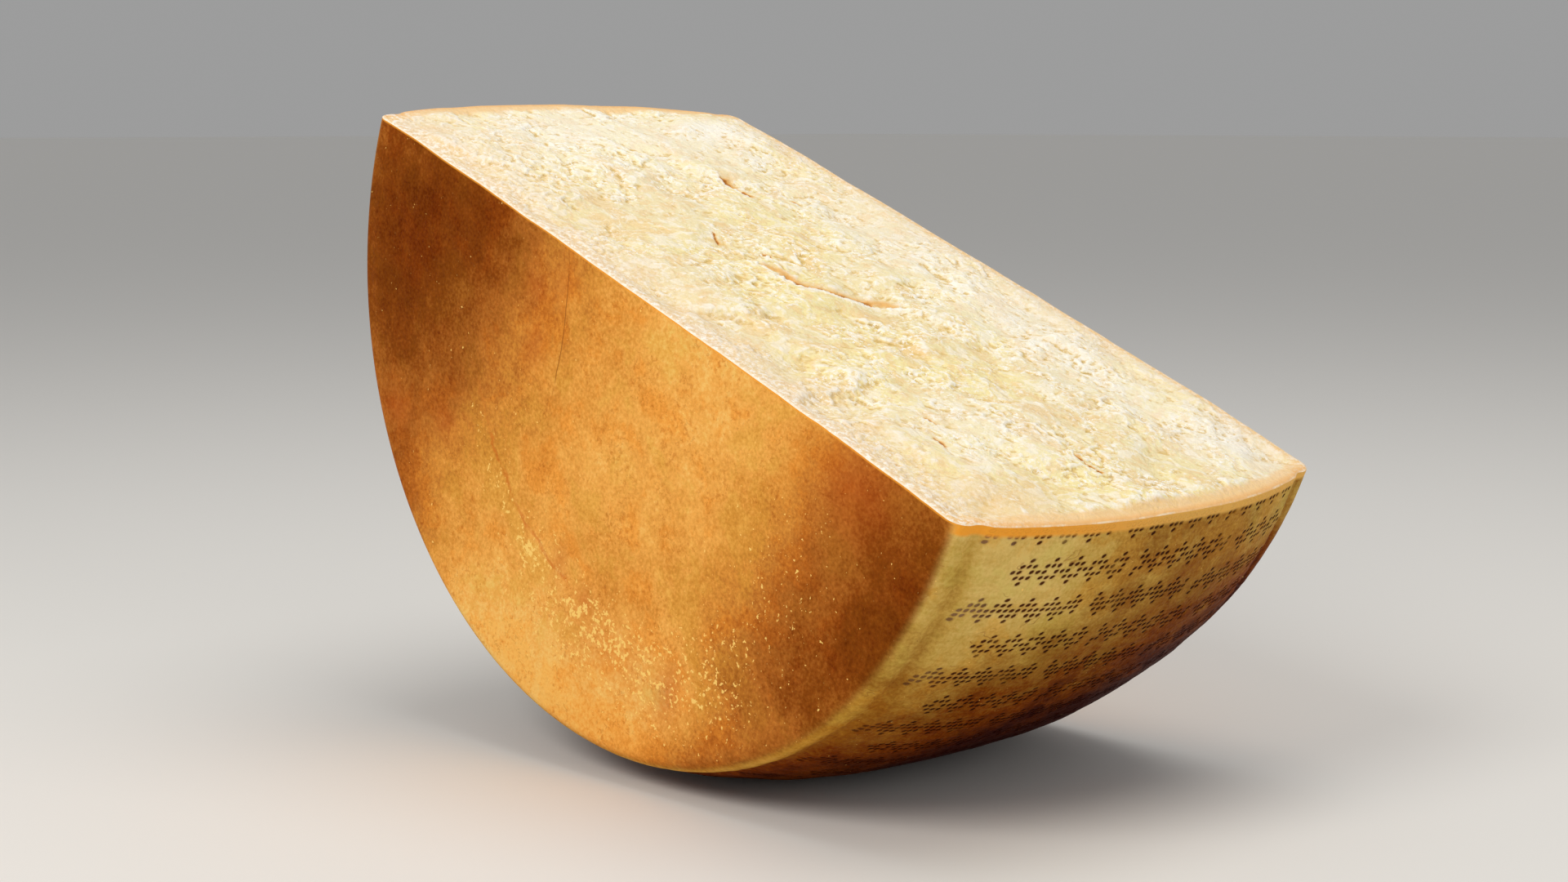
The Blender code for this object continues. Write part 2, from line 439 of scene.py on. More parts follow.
def coarse_height(x, y):
    """Height of the broken face over the wheel's axis, as in the solid."""
    relief = layered_noise(x, y, SWELLS)
    moved = warped(x, y, WARP_SIZE, WARP, WARP_SEED)
    tilt = CHIP_TILT * CHIP_SIZE / CHIP
    relief += CHIP * chip_noise(*moved, CHIP_SIZE, tilt, CHIP_CRISP, CHIP_SEED)
    from_mound = np.hypot(x - MOUND_CENTRE[0], y - MOUND_CENTRE[1])
    relief += MOUND_HEIGHT * smooth_step(2 - 2 * from_mound / MOUND_RADIUS)
    for crack in CRACKS:
        relief += crack_dip(x, y, *crack)
    inward = inward_distance(x, y) / RIND_THICKNESS
    fade = RIND_RELIEF + (1 - RIND_RELIEF) * smooth_step(inward - RIND_OFFSET)
    sag = EDGE_SAG * (np.abs(x) / FACE_RADIUS) ** 4
    return CUT_ABOVE_AXIS + relief * fade - sag


def roughness_zones(x, y):
    """1 where the paste broke into flakes and crumbs, 0 where it parted smoothly."""
    zones = layered_noise(x, y, ROUGH_NOISE, ROUGH_MEAN)
    return np.clip(zones - blobs(x, y, SMOOTH_PATCHES), *ROUGH_LIMITS)


def fine_relief(x, y):
    """Flakes of ever smaller size, and grains between them."""
    relief = np.zeros(x.shape)
    for k, (size, height, tilt, crisp) in enumerate(FLAKES):
        seed = FLAKE_SEED + 10 * k
        moved = warped(x, y, size / 2, FLAKE_WARP * size, seed)
        relief += height * chip_noise(*moved, size, tilt * size / height, crisp, seed + 2)
    relief += layered_noise(x, y, GRAIN_NOISE)
    relief *= roughness_zones(x, y)
    inward = inward_distance(x, y) / RIND_THICKNESS
    return relief * (RIM_FLAKES + (1 - RIM_FLAKES) * smooth_step(RIM_SLOPE * inward - RIM_OFFSET))


def cut_height(x, y):
    """Height of the broken face with its fine relief, worn round along its border."""
    worn = 1 - inward_distance(x, y) / LIP_WIDTH
    lip = LIP_DROP * np.maximum(worn, 0.0) ** 2
    return coarse_height(x, y) + fine_relief(x, y) - lip


def border_x(y, r, side):
    """x where the broken face meets the barrel side of radius r, for side 1 or -1."""
    x = side * r
    for _ in range(3):
        height = cut_height(x, y)
        x = side * np.sqrt(r * r - height * height)
    return x


def cut_grid(y, r):
    """Points of the broken face, with a row for each y and a column for each share of x."""
    left = border_x(y, r, -1)
    right = border_x(y, r, 1)
    share = np.linspace(0.0, 1.0, CUT_COLUMNS + 1)
    x = left[:, None] + (right - left)[:, None] * share
    rows = np.broadcast_to(y[:, None], x.shape)
    return np.stack([x, rows, cut_height(x, rows)], -1)


def dot_marks(arc, y):
    """1 on the dots of the pin-dot ornament, and 0 between them."""
    row = np.floor((arc - DOT_ROW_START) / DOT_ROW_PITCH)
    down = arc - DOT_ROW_START - row * DOT_ROW_PITCH
    odd = row % 2
    along = y + DOT_REACH - odd * DOT_SHIFT + DOT_LEAN * down
    line = np.floor(down / DOT_DOWN)
    column = np.floor(along / DOT_ALONG)
    across = np.abs(column % 4 - 2)
    lozenges = np.isin(across + np.abs(line - 2), (1, 2))
    waves = np.abs(line - across - 1) <= 1
    shown = np.where(odd > 0, lozenges, waves) & (line < DOT_LINES) & (column >= 0)
    shown &= (column % WORD_COLUMNS < WORD_COLUMNS - WORD_GAP) & (y < DOT_REACH)
    du = along - (column + 0.5) * DOT_ALONG
    dv = down - (line + 0.5) * DOT_DOWN
    distance = np.hypot(du - DOT_SLANT * dv, dv * DOT_FLATNESS) / DOT_RADIUS
    return shown * smooth_step((DOT_PIT - distance) / DOT_PIT_EDGE)


def side_relief(arc, y):
    """How far the barrel side stands out: waves, wrinkles along Y and the pits of the dots."""
    relief = layered_noise(arc, y, SIDE_WAVES)
    relief += layered_noise(arc, y * WRINKLES_Y, WRINKLES)
    low_wrinkles = layered_noise(arc, y * LOW_WRINKLES_Y, LOW_WRINKLES)
    relief += low_wrinkles * smooth_step(arc / LOW_WRINKLES_FULL)
    return relief - DOT_DEPTH * dot_marks(arc, y)


def side_grid(y, r, cut):
    """Points of the barrel side and their place on it, from the low end round to the high one.

    The place is the length of arc down from level with the axis, y, and the length of arc from
    the nearer end of the broken face.
    """
    start = np.arctan2(cut[:, -1, 2], cut[:, -1, 0])
    end = np.arctan2(cut[:, 0, 2], cut[:, 0, 0])
    end = np.where(end > 0, end - 2 * math.pi, end)
    fine = np.linspace(0.0, FINE_SHARE, FINE_COLUMNS, endpoint=False)
    coarse = np.linspace(FINE_SHARE, 1.0, COARSE_COLUMNS + 1)
    share = np.concatenate([fine, coarse])
    angle = start[:, None] + (end - start)[:, None] * share
    arc = -angle * MID_RADIUS
    rows = np.broadcast_to(y[:, None], arc.shape)
    from_cut = np.minimum(arc - arc[:, :1], arc[:, -1:] - arc)
    fade = smooth_step(from_cut / CUT_FADE) * smooth_step(to_face(rows) / SIDE_FADE)
    radius = r[:, None] + side_relief(arc, rows) * fade
    points = np.stack([radius * np.cos(angle), rows, radius * np.sin(angle)], -1)
    return points, np.stack([arc, rows, from_cut], -1)


def turned(vectors):
    """Vectors of the wheel's axes, turned to how the half lies."""
    x, y, z = np.moveaxis(vectors, -1, 0)
    row_x = math.cos(ROLL) * x + math.sin(ROLL) * z
    row_z = -math.sin(ROLL) * x + math.cos(ROLL) * z
    return np.stack([row_x, y, row_z], -1)


def placed(points):
    """Points of the wheel's axes, rolled and stood on the flat spot at z = 0."""
    row = turned(points) + (0.0, 0.0, AXIS_HEIGHT)
    row[..., 2] = np.maximum(row[..., 2], 0.0)
    return row


def unit(vectors):
    return vectors / np.linalg.norm(vectors, axis=-1, keepdims=True)


def grid_normals(points):
    """Unit normals of a grid of points, to the side where columns turn left from rows."""
    return unit(np.cross(np.gradient(points, axis=1), np.gradient(points, axis=0)))


def blurred(values, times):
    """values of a grid, spread to their neighbours that many times."""
    for _ in range(times):
        wide = np.pad(values, 1, mode="edge")
        values = (wide[:-2, 1:-1] + wide[2:, 1:-1] + wide[1:-1, :-2] + wide[1:-1, 2:]) / 4
    return values


def add_object(name, data):
    made = bpy.data.objects.new(name, data)
    bpy.context.scene.collection.objects.link(made)
    return made


def add_attributes(mesh, attributes):
    """Writes arrays of numbers, or of vectors, to the mesh's points for its material."""
    for name, values in attributes.items():
        is_vector = values.ndim == 2
        kind = "FLOAT_VECTOR" if is_vector else "FLOAT"
        attribute = mesh.attributes.new(name, kind, "POINT")
        key = "vector" if is_vector else "value"
        attribute.data.foreach_set(key, values.astype(np.float32).ravel())


def finish_piece(name, points, faces, normals, attributes, material):
    """Makes one piece that rides with the part, with its own normals and attributes."""
    mesh = bpy.data.meshes.new(name)
    mesh.from_pydata(points.tolist(), [], faces.tolist())
    mesh.shade_smooth()
    mesh.normals_split_custom_set_from_vertices(normals.tolist())
    add_attributes(mesh, attributes)
    mesh.materials.append(material)
    piece = add_object(name, mesh)
    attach(piece, "root")
    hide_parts("half_wheel")


def grid_pieces(names, split, points, normals, attributes, material):
    """Two pieces of a grid, which meet along the column of that number."""
    for name, columns in zip(names, (slice(split + 1), slice(split, None))):
        part = points[:, columns]
        rows, count = part.shape[:2]
        start = np.arange(rows * count).reshape(rows, count)[:-1, :-1].reshape(-1, 1)
        faces = start + (0, 1, count + 1, count)
        own_normals = normals[:, columns].reshape(-1, 3)
        own = {key: values[:, columns].reshape(-1, *values.shape[2:])
               for key, values in attributes.items()}
        finish_piece(name, part.reshape(-1, 3), faces, own_normals, own, material)


def cut_level(outline, x):
    """z of the broken face where it meets a round face, at x."""
    edge = outline[:CUT_COLUMNS + 1]
    return np.interp(x, edge[:, 0], edge[:, 1])


def face_fill(outline):
    """Triangles over a round face, with its points as (x, z)."""
    reach = np.arange(-CORNER_START, CORNER_START, FACE_SPACING)
    x, z = np.meshgrid(reach, reach[reach < FACE_TOP])
    x = x + FACE_SPACING / 2 * (np.arange(x.shape[0]) % 2)[:, None]
    inside = np.hypot(x, z) < CORNER_START - FACE_MARGIN
    inside &= z < cut_level(outline, x) - FACE_MARGIN
    points = np.concatenate([outline, np.stack([x[inside], z[inside]], -1)])
    count = len(outline)
    border = [(k, (k + 1) % count) for k in range(count)]
    made = delaunay_2d_cdt([Vector(p) for p in points], border, [], 1, SAME_POINT)
    return np.array([tuple(p) for p in made[0]]), np.array(made[2])


def face_slopes(x, z, relief):
    """How steeply a round face's relief rises along x and along z."""
    along_x = relief(x + SLOPE_STEP, z) - relief(x - SLOPE_STEP, z)
    along_z = relief(x, z + SLOPE_STEP) - relief(x, z - SLOPE_STEP)
    return along_x / (2 * SLOPE_STEP), along_z / (2 * SLOPE_STEP)


def faded_face_relief(outline):
    """A function of how far a round face stands out: dents that fade out at its outline."""

    def relief(x, z):
        from_side = CORNER_START - np.hypot(x, z)
        inward = np.minimum(cut_level(outline, x) - z, from_side)
        return layered_noise(x, z, FACE_DENTS) * smooth_step(inward / FACE_FADE)

    return relief


def face_piece(name, outward, cut_row, side_row, material):
    """One of the two round faces; outward is -1 for the near one and 1 for the far one.

    Its outline, as (x, z), runs along the broken face and then back round the side.
    """
    outline = np.concatenate([cut_row, side_row[1:-1]])[:, [0, 2]]
    points, faces = face_fill(outline)
    relief = faded_face_relief(outline)
    x, z = points[:, 0], points[:, 1]
    along_x, along_z = face_slopes(x, z, relief)
    normals = unit(np.stack([-along_x, np.full(x.shape, float(outward)), -along_z], -1))
    wheel = np.stack([x, outward * (WHEEL_HEIGHT / 2 + relief(x, z)), z], -1)
    from_cut = cut_level(outline, x) - z
    attributes = rind_attributes(wheel, np.zeros((len(x), 3)), from_cut, np.ones(len(x)))
    a, b, c = (points[faces[:, k]] for k in range(3))
    flipped = np.cross(b - a, c - a) * outward > 0
    faces[flipped] = faces[flipped][:, ::-1]
    finish_piece(name, placed(wheel), faces, turned(normals), attributes, material)


def blobs(x, z, table):
    """The sum of soft stains, each given as its two coordinates, width, height and strength."""
    total = np.zeros(x.shape)
    for at_x, at_z, width, height, strength in table:
        total += strength * np.exp(-((x - at_x) / width) ** 2 - ((z - at_z) / height) ** 2)
    return total


def face_tone(x, z):
    """How light the rind of a round face is, from 0 for brown to 1 for pale gold."""
    tone = FACE_TONE + blobs(x, z, FACE_STAINS)
    return tone + rise(np.hypot(x, z), *RIM_LIGHT) * rise(-z, *LOW_FACE)


def side_tone_and_shade(arc, y):
    """How light the barrel side is: palest on top near the faces, and brown with painted shade as it
    turns down to the floor. The middle is darker, partly its own tone and partly painted shade; the
    ridge by the faces has a painted highlight and the groove painted shade.
    """
    down = below_cut(arc)
    from_face = to_face(y)
    low = rise(down, *LOW_SIDE)
    # Painted shade: the side darkens as it turns down to the floor.
    tone = SIDE_TONE - rise(down, *DOWN_PAINTED_SHADE) + blobs(arc, y, SIDE_STAINS)
    middle = rise(from_face, *MIDDLE_IN) * np.where(y < 0, 1.0, FAR_MIDDLE)
    middle = 1 - (1 - middle) * (1 - rise(y, *FAR_HALF))
    # Darker in the middle, away from the faces: partly the rind's own tone, partly painted shade.
    tone -= MIDDLE_TONE_AND_SHADE * middle * (1 - rise(down, *MIDDLE_FADE))
    tone += rise(y, *FAR_LIGHT) * (1 - smooth_step(down / FAR_LIGHT_DEPTH))
    tone -= rise(y, *FAR_DARK) * rise(down, *FAR_DARK_DOWN)
    # Lighter low down near the faces, partly own tone and partly painted light, and painted shade
    # lowest down by the floor.
    tone += LOW_TONE_AND_LIGHT * low * (1 - middle) - rise(down, *LOWEST_PAINTED_SHADE)
    # Painted highlight on the ridge by the faces, strongest low down.
    tone += (rise(down, *RIDGE_PAINTED_HIGHLIGHT) - RIDGE_DARK) * bell(from_face, *RIDGE)
    # Painted shade in the groove, with painted light in it low down.
    return tone + (VALLEY_PAINTED_LIGHT * low - VALLEY_PAINTED_SHADE) * bell(from_face, *VALLEY)


def crease_gold(x, y, z):
    """1 in the gold band on the outer side of the near face's crease, and 0 away from it."""
    across = np.hypot(x, z) - CREASE_RADIUS - CREASE_SPIRAL * x
    first, last = GOLD_SPAN
    ends = rise(x, first, END_FADE) * rise(-x, -last, END_FADE)
    return bell(across, *GOLD_BAND) * ends * (np.maximum(y, z) < 0)


def rind_attributes(wheel, place, from_cut, face):
    """What the rind's material reads at each point; face is 1 on a round face, 0 on the side."""
    x, y, z = np.moveaxis(wheel, -1, 0)
    arc = place[..., 0]
    gold = crease_gold(x, y, z) * face
    warmth = (1 - face) * (rise(arc, *LOW_WARMTH) + rise(y, *FAR_WARMTH))
    amber = rise(below_cut(arc), *AMBER_DOWN) * (1 - rise(to_face(y), *AMBER_FADE))
    return {
        "spot": wheel,
        "place": place,
        "edge": from_cut,
        "face": face,
        "face_tone": face_tone(x, z),
        "side_tone_and_shade": side_tone_and_shade(arc, y),
        "speckle": face * blobs(x, z, SPECKLE_BAND) + GOLD_FLECKS * gold,
        "redness": face * blobs(x, z, RED_STAINS),
        "hue": face * blobs(x, z, HUE_DRIFTS) + warmth - GOLD_HUE * gold,
        "amber": (1 - face) * amber,
    }


def paste_attributes(x, y, height):
    """What the paste's material reads at each point of the broken face."""
    cracks = [crack_dip(x, y, line, -min(depth / SHARP_CRACK, 1.0), reach, end)
              for line, depth, reach, end in CRACKS]
    border = np.exp(-np.maximum(WHEEL_HEIGHT / 2 + y, 0.0) / NEAR_CRUMBS)
    border += FAR_SHARE * np.exp(-np.maximum(WHEEL_HEIGHT / 2 - y, 0.0) / FAR_CRUMBS)
    from_side = (side_radius(y) - np.abs(x)) * np.where(x < 0, HIGH_SECTION, 1.0)
    # small and wide: how far a point stands above or below its neighbours, which the colour turns into
    # painted shade in hollows and painted highlight on crests
    return {
        "spot": np.stack([x, y, inward_distance(x, y)], -1),
        "small": (height - blurred(height, SMALL_BLUR)) / SMALL_STEP,
        "wide": (height - blurred(height, WIDE_BLUR)) / WIDE_STEP,
        "crack": np.maximum(np.max(cracks, axis=0), 0.0),
        "border": border,
        "rim": np.minimum(from_side, WHEEL_HEIGHT / 2 - y + FAR_SECTION),
        "rough": roughness_zones(x, y),
        "pale": blobs(x, y, PALE_PATCHES),
    }


def srgb(red, green, blue):
    """A colour given from 0 to 255, as the linear values that a shader takes."""
    parts = [v / 255 for v in (red, green, blue)]
    linear = [((v + 0.055) / 1.055) ** 2.4 if v > 0.04045 else v / 12.92 for v in parts]
    return (*linear, 1.0)


# Colours of the paste and the rind, and tints that multiply them
PASTE_CREAM = srgb(237, 221, 174)
PASTE_YELLOW = srgb(242, 226, 163)
PASTE_PEACH = srgb(236, 202, 144)
PASTE_PALE = srgb(246, 236, 212)
PASTE_WHITE = srgb(252, 248, 238)
# Painted shade in small hollows
PASTE_HOLLOW_SHADE = srgb(218, 184, 108)
PASTE_SHADE = srgb(194, 162, 88)
# Painted shade down the slope into a crack, and its painted shadow line
PASTE_CRACK_SHADE = srgb(228, 166, 76)
CRACK_SHADOW_LINE = srgb(180, 112, 34)
PASTE_ROSE = srgb(236, 203, 164)
RIND_SECTION = srgb(242, 202, 144)
RIND_EDGE = srgb(236, 172, 96)
FACE_RAMP = (
    (0.00, srgb(100, 40, 0)),
    (0.22, srgb(138, 70, 14)),
    (0.45, srgb(186, 112, 42)),
    (0.65, srgb(220, 147, 60)),
    (0.85, srgb(244, 176, 85)),
    (1.00, srgb(250, 200, 112)),
)
SIDE_RAMP = (
    (0.00, srgb(62, 14, 0)),
    (0.25, srgb(126, 62, 2)),
    (0.5, srgb(165, 117, 44)),
    (0.75, srgb(204, 164, 78)),
    (1.00, srgb(230, 196, 114)),
)
RIND_RED = srgb(190, 78, 24)
SPECK = srgb(255, 212, 118)
PORE_TINT = (0.76, 0.6, 0.46, 1.0)
DOT_INK = (0.13, 0.06, 0.055, 1.0)
DOT_FADED = (0.46, 0.4, 0.7, 1.0)
DOT_HALO = (0.76, 0.68, 0.72, 1.0)
SCRATCH = srgb(140, 72, 22)
CREASE = srgb(206, 104, 34)
ORANGE_TINT = (1.0, 0.86, 0.66, 1.0)
AMBER_TINT = (1.0, 0.88, 0.6, 1.0)
OLIVE_TINT = (0.93, 0.99, 0.88, 1.0)
# Painted glow and highlight of the lip under the broken face
LIP_GLOW_ORANGE = srgb(255, 170, 58)
LIP_HIGHLIGHT_GOLD = srgb(238, 182, 92)

# The inputs of the shader that materials set, and what the surfaces put in the last four
SURFACE_INPUTS = (
    "Base Color", "Roughness", "Normal",
    "Specular IOR Level", "Subsurface Weight", "Subsurface Radius", "Subsurface Scale",
)
PASTE_SURFACE = (0.2, 0.05, (1.0, 0.75, 0.45), 0.0015)
RIND_SURFACE = (0.02, 0.06, (1.0, 0.45, 0.15), 0.002)

# Noise of the materials as (size, detail, roughness, distortion)
PASTE_TONES = (0.03, 2.0)
PASTE_PATCHES = (0.012, 4.0, 0.6, 0.8)
PASTE_TINTS = (0.0055, 4.0, 0.6, 0.9)
PASTE_GRAIN = (0.0011, 4.0, 0.7)
PASTE_FLAKES = (0.003, 3.0, 0.6, 0.8)
CRUMB_GRIT = (0.0011, 4.0, 0.75, 0.4)
CRUMB_CLUSTERS = (0.008, 3.0, 0.6)
BORDER_GRIT = (0.0014, 4.0, 0.75)
BORDER_WEAR_AND_HIGHLIGHT = (0.005, 4.0, 0.75)
WOBBLE = (0.006, 3.0)
RIND_PEEL = (0.00085, 3.0, 0.6)
RIND_DENTS = (0.0045, 3.0, 0.55)
BROAD_HUES = (0.018, 4.0, 0.6, 0.5)
FINE_HUES = (0.0045, 4.0, 0.7)
FLECKS = (0.0011, 2.0, 0.6)
FLECK_CLUSTERS = (0.0045, 3.0, 0.7)
PORES = (0.001, 2.0, 0.6, 0.5)
PORE_CLUSTERS = (0.009, 3.0, 0.6)
SCRATCH_GAPS = (0.005, 2.0)
CREASE_WOBBLE = (0.007, 5.0, 0.65)
DOT_WEAR = (0.01, 3.0, 0.6)
LIP_WOBBLE = (0.008, 2.0)

# Hair lines as (size of their windings, width, length of a stretch)
PASTE_HAIRS = (0.0022, 0.02, 0.0025)
SIDE_HAIRS = (0.016, 0.01, 0.01)

# The studio
FLOOR_COLOUR = srgb(226, 224, 220)
FLOOR_ROUGHNESS = 0.85
FLOOR_REACH = 40.0
WORLD_COLOUR = (1.0, 1.0, 1.0, 1.0)
WORLD_STRENGTH = 0.42
HORIZON_STRENGTH = 0.335
# The lights, each as (place, size, power, colour), and the point that they face
LIGHT_TARGET = (0.0, 0.0, 0.15)
LIGHTS = {
    "key": ((0.1, -1.7, 1.45), 1.1, 21.0, (1.0, 0.97, 0.92)),
    "top": ((0.3, 0.25, 2.00), 1.6, 14.0, (1.0, 0.98, 0.95)),
    "fill": ((1.8, 0.2, 0.7), 1.2, 3.5, (1.0, 0.97, 0.93)),
}


class Nodes:
    """Short names for adding nodes to a material; a value may be a number or a node's output."""

    def __init__(self, name):
        self.material = bpy.data.materials.new(name)
        self.material.use_nodes = True
        self.tree = self.material.node_tree
        self.shader = self.tree.nodes["Principled BSDF"]

    def put(self, value, socket):
        if isinstance(value, bpy.types.NodeSocket):
            self.tree.links.new(value, socket)
        else:
            socket.default_value = value

    def feed(self, node, values):
        """Puts each of the named values in the node's input of that name."""
        for name, value in values.items():
            self.put(value, node.inputs[name])

    def fill(self, node, *values):
        """Puts the values in the node's first inputs, and gives its outputs."""
        for value, socket in zip(values, node.inputs):
            self.put(value, socket)
        return node.outputs

    def add(self, kind, **settings):
        node = self.tree.nodes.new("ShaderNode" + kind)
        for key, value in settings.items():
            setattr(node, key, value)
        return node

    def attribute(self, name, output="Fac"):
        return self.add("Attribute", attribute_name=name).outputs[output]

    def math(self, operation, *values):
        return self.fill(self.add("Math", operation=operation), *values)[0]

    def product(self, total, *others):
        for other in others:
            total = self.math("MULTIPLY", total, other)
        return total

    def rest(self, share):
        """What a share leaves of 1."""
        return self.math("SUBTRACT", 1.0, share)

    def centred(self, value, reach):
        """value, from 0 to 1, carried to a span of reach round 0."""
        return self.math("MULTIPLY_ADD", value, reach, -reach / 2)

    def length(self, x, y):
        """The length of the vector (x, y)."""
        square = self.math("ADD", self.product(x, x), self.product(y, y))
        return self.math("SQRT", square)

    def span(self, value, low, high, to_low=0.0, to_high=1.0):
        """value carried smoothly from low..high to to_low..to_high."""
        node = self.add("MapRange", interpolation_type="SMOOTHSTEP")
        return self.fill(node, value, low, high, to_low, to_high)[0]

    def scaled(self, vector, factors):
        return self.fill(self.add("VectorMath", operation="MULTIPLY"), vector, factors)[0]

    def parts(self, vector):
        return self.fill(self.add("SeparateXYZ"), vector)

    def noise(self, vector, size, detail=2.0, roughness=0.5, distortion=0.0):
        """Noise from 0 to 1, whose lumps are about one size across."""
        node = self.add("TexNoise", noise_dimensions="3D")
        self.feed(node, {"Vector": vector, "Scale": 0.5 / size, "Detail": detail,
                         "Roughness": roughness, "Distortion": distortion})
        return node.outputs[0]

    def grains(self, vector, size):
        """The distance to the nearest of many scattered points, in sizes."""
        node = self.add("TexVoronoi", feature="F1")
        self.feed(node, {"Vector": vector, "Scale": 1.0 / size})
        return node.outputs["Distance"]

    def ramp(self, value, *stops):
        node = self.add("ValToRGB")
        points = node.color_ramp.elements
        points[0].position, points[0].color = stops[0]
        points[1].position, points[1].color = stops[-1]
        for position, colour in stops[1:-1]:
            points.new(position).color = colour
        return self.fill(node, value)[0]

    def mix(self, factor, first, second, blend="MIX"):
        node = self.add("Mix", data_type="RGBA", blend_type=blend, clamp_factor=True)
        self.put(factor, node.inputs["Factor"])
        for value, socket in zip((first, second), node.inputs[6:8]):
            self.put(value, socket)
        return node.outputs[2]

    def layers(self, colour, *layers):
        """Lays each of (value, low, high, strength, tint) over colour, in full where value is high."""
        for value, low, high, strength, tint in layers:
            colour = self.mix(self.span(value, low, high, 0.0, strength), colour, tint)
        return colour

    def bump(self, height, distance, **normal):
        node = self.add("Bump")
        self.feed(node, {"Height": height, "Distance": distance, **normal})
        return node.outputs[0]

    def finished(self, *values):
        """The material, once its shader has the values of SURFACE_INPUTS."""
        self.feed(self.shader, dict(zip(SURFACE_INPUTS, values)))
        return self.material


def paste_colour(n, spot):
    """Cream paste with peach patches, and white crumbs and dark hair lines where it is rough, with
    painted shade in hollows and cracks and painted highlights on crests.
    """
    rough = n.attribute("rough")
    small = n.attribute("small")
    crack = n.attribute("crack")
    pale = n.attribute("pale")
    patches = n.noise(spot, *PASTE_PATCHES)
    tints = n.noise(spot, *PASTE_TINTS)
    colour = n.layers(
        PASTE_CREAM,
        (n.noise(spot, *PASTE_TONES), 0.38, 0.62, 1.0, PASTE_YELLOW),
        (patches, 0.52, 0.64, 0.65, PASTE_PEACH),
        (tints, 0.53, 0.6, 0.6, PASTE_PEACH),
        (tints, 0.47, 0.41, 0.75, PASTE_PALE),
    )
    colour = n.mix(pale, colour, PASTE_WHITE)
    colour = n.mix(n.product(pale, -1.0), colour, PASTE_PEACH)
    # Painted shade: peach in broad hollows and ochre in small ones; painted highlight: white on small
    # crests.
    colour = n.layers(
        colour,
        (n.attribute("wide"), -0.4, -1.3, 0.45, PASTE_PEACH),
        (small, -0.25, -1.0, 0.75, PASTE_HOLLOW_SHADE),
        (small, 0.3, 1.0, 0.7, PASTE_WHITE),
    )
    colour = n.mix(crumbs(n, spot, rough), colour, PASTE_WHITE)
    # Painted shadow line at the foot of the steepest steps.
    colour = n.layers(colour, (small, -1.0, -1.5, 0.45, PASTE_SHADE))
    lines = n.product(hair_lines(n, spot, *PASTE_HAIRS), n.span(rough, 0.15, 0.7, 0.15, 1.0))
    # The cracks in painted shade: peach then orange down the slope into each, and a dark painted
    # shadow line where the lip hides its foot.
    return n.layers(
        n.mix(lines, colour, PASTE_SHADE),
        (crack, 0.1, 0.3, 0.7, PASTE_PEACH),
        (crack, 0.2, 0.38, 0.9, PASTE_CRACK_SHADE),
        (crack, 0.32, 0.42, 1.0, CRACK_SHADOW_LINE),
    )


def crumbs(n, spot, rough):
    """White crumbs in clusters, thick where the paste is rough, from 0 to 1."""
    clusters = n.span(n.noise(spot, *CRUMB_CLUSTERS), 0.42, 0.58, 0.3, 1.0)
    wanted = n.product(clusters, n.span(rough, 0.1, 0.8, 0.15, 1.0))
    return n.product(n.span(n.noise(spot, *CRUMB_GRIT), 0.53, 0.58), wanted)


def hair_lines(n, spot, size, width, stretch):
    """Thin wandering lines, broken into short stretches, from 0 to a half."""
    level = n.noise(spot, size, 3.0, 0.65, 0.3)
    line = n.span(n.math("ABSOLUTE", n.math("SUBTRACT", level, 0.5)), width, 0.0)
    shown = n.span(n.noise(spot, stretch, 3.0, 0.7), 0.55, 0.62, 0.0, 0.5)
    return n.product(line, shown)


def paste_border(n, colour, spot, inward):
    """Pale crumbs on rose along both round faces, the peach band of rind seen in section, and a pale
    line along the very edge that is partly wear and partly painted highlight.
    """
    border = n.attribute("border")
    rim = n.attribute("rim")
    grit = n.noise(spot, *BORDER_GRIT)
    depth = n.math("ADD", rim, n.centred(n.noise(spot, *WOBBLE), 0.007))
    colour = n.layers(
        n.mix(n.product(border, 0.85), colour, PASTE_ROSE),
        (depth, 0.0095, 0.006, 0.85, RIND_SECTION),
        (rim, 0.0045, 0.001, 0.6, RIND_EDGE),
    )
    colour = n.mix(n.product(border, n.span(grit, 0.48, 0.58)), colour, PASTE_WHITE)
    colour = n.mix(n.product(border, n.span(grit, 0.43, 0.34, 0.0, 0.6)), colour, PASTE_SHADE)
    # A pale line along the very edge: partly wear, partly painted highlight.
    worn = n.span(n.noise(spot, *BORDER_WEAR_AND_HIGHLIGHT), 0.45, 0.62, 0.1, 0.8)
    line = n.product(n.span(inward, 0.001, 0.0004, 0.0, 0.7), n.math("MAXIMUM", worn, border))
    return n.mix(line, colour, PASTE_PALE)


def paste_material():
    n = Nodes("paste")
    spot = n.attribute("spot", "Vector")
    flat_spot = n.scaled(spot, (1.0, 1.0, 0.0))
    grain = n.noise(flat_spot, *PASTE_GRAIN)
    flakes = n.bump(n.noise(flat_spot, *PASTE_FLAKES), 0.0008)
    colour = paste_border(n, paste_colour(n, flat_spot), flat_spot, n.parts(spot)[2])
    roughness = n.span(grain, 0.3, 0.7, 0.5, 0.72)
    normal = n.bump(grain, 0.0004, Normal=flakes)
    return n.finished(colour, roughness, normal, *PASTE_SURFACE)


